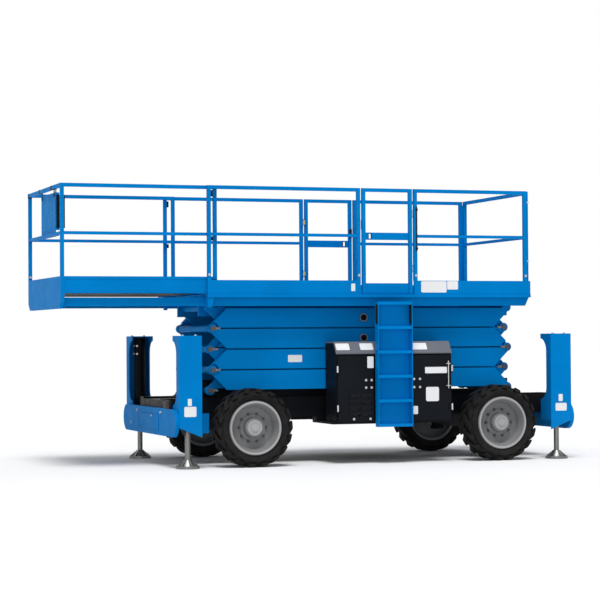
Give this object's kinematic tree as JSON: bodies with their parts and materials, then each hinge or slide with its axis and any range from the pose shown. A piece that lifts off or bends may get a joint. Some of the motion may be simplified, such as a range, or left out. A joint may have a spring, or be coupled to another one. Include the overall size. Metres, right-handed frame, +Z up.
{
  "type": "scissor lift",
  "caption": "Rough-terrain scissor lift on big lugged tyres: folded crossed-arm stack under a railed platform with a slide-out deck, swing gates, side boxes, ladders and outrigger jacks.",
  "frame": {"origin": "on the ground under the middle of the machine's box with the slide-out deck pulled out", "axes": "+X along the machine, away from the slide-out deck; +Y across it, away from the side that the picture shows; +Z up"},
  "size_m": [5.732, 2.29, 2.981],
  "materials": {
    "blue_paint": "semi-gloss",
    "dark_paint": "satin",
    "grey_paint": "satin",
    "tyre_rubber": "matte",
    "bare_steel": "bright",
    "black_paint": "gloss"
  },
  "bodies": {
    "chassis": {"chassis_frame": "dark_paint", "tie_down_lugs": "dark_paint", "axle_fixed": "dark_paint", "axle_steer": "dark_paint", "outrigger_frame_left": "blue_paint", "outrigger_frame_right": "blue_paint", "jack_barrels": "black_paint", "box_shells_near": "dark_paint", "box_shells_far": "dark_paint", "box_tops": "grey_paint", "engine_block": "grey_paint", "ladder_near": "blue_paint", "ladder_far": "blue_paint"},
    "knuckle_near": {"knuckle_near": "dark_paint"},
    "knuckle_far": {"knuckle_far": "dark_paint"},
    "wheel_fixed_near": {"tyre_fixed_near": "tyre_rubber", "rim_fixed_near": "grey_paint"},
    "wheel_fixed_far": {"tyre_fixed_far": "tyre_rubber", "rim_fixed_far": "grey_paint"},
    "wheel_steer_near": {"tyre_steer_near": "tyre_rubber", "rim_steer_near": "grey_paint"},
    "wheel_steer_far": {"tyre_steer_far": "tyre_rubber", "rim_steer_far": "grey_paint"},
    "leg_left_near": {"leg_left_near": "bare_steel"},
    "door_left_near": {"door_left_near": "dark_paint"},
    "leg_left_far": {"leg_left_far": "bare_steel"},
    "door_left_far": {"door_left_far": "dark_paint"},
    "leg_right_near": {"leg_right_near": "bare_steel"},
    "door_right_near": {"door_right_near": "dark_paint"},
    "leg_right_far": {"leg_right_far": "bare_steel"},
    "door_right_far": {"door_right_far": "dark_paint"},
    "inner_arms_1": {"inner_arms_1": "blue_paint"},
    "outer_arms_1": {"outer_arms_1": "blue_paint"},
    "inner_arms_2": {"inner_arms_2": "blue_paint"},
    "outer_arms_2": {"outer_arms_2": "blue_paint"},
    "inner_arms_3": {"inner_arms_3": "blue_paint"},
    "outer_arms_3": {"outer_arms_3": "blue_paint"},
    "inner_arms_4": {"inner_arms_4": "blue_paint"},
    "outer_arms_4": {"outer_arms_4": "blue_paint"},
    "lift_barrel_lower": {"lift_barrel_lower": "black_paint"},
    "lift_rod_lower": {"lift_rod_lower": "bare_steel"},
    "lift_barrel_upper": {"lift_barrel_upper": "black_paint"},
    "lift_rod_upper": {"lift_rod_upper": "bare_steel"},
    "platform": {"platform_deck": "blue_paint", "rails_near": "blue_paint", "rails_far": "blue_paint", "rails_end": "blue_paint"},
    "gate_near": {"gate_near": "blue_paint"},
    "gate_far": {"gate_far": "blue_paint"},
    "extension": {"extension_deck": "blue_paint", "extension_rails": "blue_paint", "control_shield": "blue_paint", "control_box": "dark_paint"}
  },
  "joints": [
    {"name": "lift", "type": "hinge", "parent": "chassis", "child": "inner_arms_1", "pos_m": [-1.177, 0, 0.8], "axis": [0, -1, 0], "range_deg": [0, 58]},
    {"name": "cross_1", "type": "hinge", "parent": "inner_arms_1", "child": "outer_arms_1", "pos_m": [0.548, 0, 0.91125], "axis": [0, -1, 0], "range_deg": [-116, 0]},
    {"name": "fold_2", "type": "hinge", "parent": "inner_arms_1", "child": "inner_arms_2", "pos_m": [2.273, 0, 1.0225], "axis": [0, -1, 0], "range_deg": [-116, 0]},
    {"name": "cross_2", "type": "hinge", "parent": "inner_arms_2", "child": "outer_arms_2", "pos_m": [0.548, 0, 1.13375], "axis": [0, -1, 0], "range_deg": [0, 116]},
    {"name": "fold_3", "type": "hinge", "parent": "inner_arms_2", "child": "inner_arms_3", "pos_m": [-1.177, 0, 1.245], "axis": [0, -1, 0], "range_deg": [0, 116]},
    {"name": "cross_3", "type": "hinge", "parent": "inner_arms_3", "child": "outer_arms_3", "pos_m": [0.548, 0, 1.35625], "axis": [0, -1, 0], "range_deg": [-116, 0]},
    {"name": "fold_4", "type": "hinge", "parent": "inner_arms_3", "child": "inner_arms_4", "pos_m": [2.273, 0, 1.4675], "axis": [0, -1, 0], "range_deg": [-116, 0]},
    {"name": "cross_4", "type": "hinge", "parent": "inner_arms_4", "child": "outer_arms_4", "pos_m": [0.548, 0, 1.57875], "axis": [0, -1, 0], "range_deg": [0, 116]},
    {"name": "level", "type": "hinge", "parent": "inner_arms_4", "child": "platform", "pos_m": [-1.177, 0, 1.69], "axis": [0, -1, 0], "range_deg": [0, 58]},
    {"name": "barrel_lower", "type": "hinge", "parent": "inner_arms_1", "child": "lift_barrel_lower", "pos_m": [2.053, 0, 0.95], "axis": [0, -1, 0], "range_deg": [-119.13, 0]},
    {"name": "rod_lower", "type": "slide", "parent": "lift_barrel_lower", "child": "lift_rod_lower", "axis": [-0.9997, 0, 0.0263], "range_m": [0, 0.38621]},
    {"name": "barrel_upper", "type": "hinge", "parent": "inner_arms_3", "child": "lift_barrel_upper", "pos_m": [2.053, 0, 1.395], "axis": [0, -1, 0], "range_deg": [-119.13, 0]},
    {"name": "rod_upper", "type": "slide", "parent": "lift_barrel_upper", "child": "lift_rod_upper", "axis": [-0.9997, 0, 0.0263], "range_m": [0, 0.38621]},
    {"name": "steer_near", "type": "hinge", "parent": "chassis", "child": "knuckle_near", "pos_m": [1.993, -0.77, 0.415], "axis": [0, 0, 1], "range_deg": [-30, 30]},
    {"name": "steer_far", "type": "hinge", "parent": "chassis", "child": "knuckle_far", "pos_m": [1.993, 0.77, 0.415], "axis": [0, 0, 1], "range_deg": [-30, 30]},
    {"name": "wheel_fixed_near", "type": "hinge", "parent": "chassis", "child": "wheel_fixed_near", "pos_m": [-0.847, -0.995, 0.415], "axis": [0, 1, 0], "continuous": true},
    {"name": "wheel_steer_near", "type": "hinge", "parent": "knuckle_near", "child": "wheel_steer_near", "pos_m": [1.993, -0.995, 0.415], "axis": [0, 1, 0], "continuous": true},
    {"name": "wheel_fixed_far", "type": "hinge", "parent": "chassis", "child": "wheel_fixed_far", "pos_m": [-0.847, 0.995, 0.415], "axis": [0, 1, 0], "continuous": true},
    {"name": "wheel_steer_far", "type": "hinge", "parent": "knuckle_far", "child": "wheel_steer_far", "pos_m": [1.993, 0.995, 0.415], "axis": [0, 1, 0], "continuous": true},
    {"name": "jack_left_near", "type": "slide", "parent": "chassis", "child": "leg_left_near", "axis": [0, 0, 1], "range_m": [-0.35, 0.2]},
    {"name": "jack_left_far", "type": "slide", "parent": "chassis", "child": "leg_left_far", "axis": [0, 0, 1], "range_m": [-0.35, 0.2]},
    {"name": "jack_right_near", "type": "slide", "parent": "chassis", "child": "leg_right_near", "axis": [0, 0, 1], "range_m": [-0.35, 0.2]},
    {"name": "jack_right_far", "type": "slide", "parent": "chassis", "child": "leg_right_far", "axis": [0, 0, 1], "range_m": [-0.35, 0.2]},
    {"name": "extension_slide", "type": "slide", "parent": "platform", "child": "extension", "axis": [1, 0, 0], "range_m": [0, 1.52]},
    {"name": "gate_near", "type": "hinge", "parent": "platform", "child": "gate_near", "pos_m": [1.04, -0.869, 2.4], "axis": [0, 0, -1], "range_deg": [0, 90]},
    {"name": "gate_far", "type": "hinge", "parent": "platform", "child": "gate_far", "pos_m": [0.394, 0.869, 2.4], "axis": [0, 0, -1], "range_deg": [0, 90]},
    {"name": "door_left_near", "type": "hinge", "parent": "chassis", "child": "door_left_near", "pos_m": [0.097, -1.062, 0.8], "axis": [0, 0, -1], "range_deg": [0, 90]},
    {"name": "door_right_near", "type": "hinge", "parent": "chassis", "child": "door_right_near", "pos_m": [1.425, -1.062, 0.8], "axis": [0, 0, 1], "range_deg": [0, 90]},
    {"name": "door_left_far", "type": "hinge", "parent": "chassis", "child": "door_left_far", "pos_m": [0.097, 1.062, 0.8], "axis": [0, 0, 1], "range_deg": [0, 90]},
    {"name": "door_right_far", "type": "hinge", "parent": "chassis", "child": "door_right_far", "pos_m": [1.425, 1.062, 0.8], "axis": [0, 0, -1], "range_deg": [0, 90]}
  ],
  "couplings": [
    {"joint": "cross_1", "follows": "lift", "ratio": -2},
    {"joint": "fold_2", "follows": "lift", "ratio": -2},
    {"joint": "cross_2", "follows": "lift", "ratio": 2},
    {"joint": "fold_3", "follows": "lift", "ratio": 2},
    {"joint": "cross_3", "follows": "lift", "ratio": -2},
    {"joint": "fold_4", "follows": "lift", "ratio": -2},
    {"joint": "cross_4", "follows": "lift", "ratio": 2},
    {"joint": "level", "follows": "lift", "ratio": 1},
    {"joint": "barrel_lower", "follows": "lift", "ratio": -2.054},
    {"joint": "rod_lower", "follows": "lift", "m_per_rad": 0.38152},
    {"joint": "barrel_upper", "follows": "lift", "ratio": -2.054},
    {"joint": "rod_upper", "follows": "lift", "m_per_rad": 0.38152},
    {"joint": "steer_far", "follows": "steer_near", "ratio": 1}
  ]
}
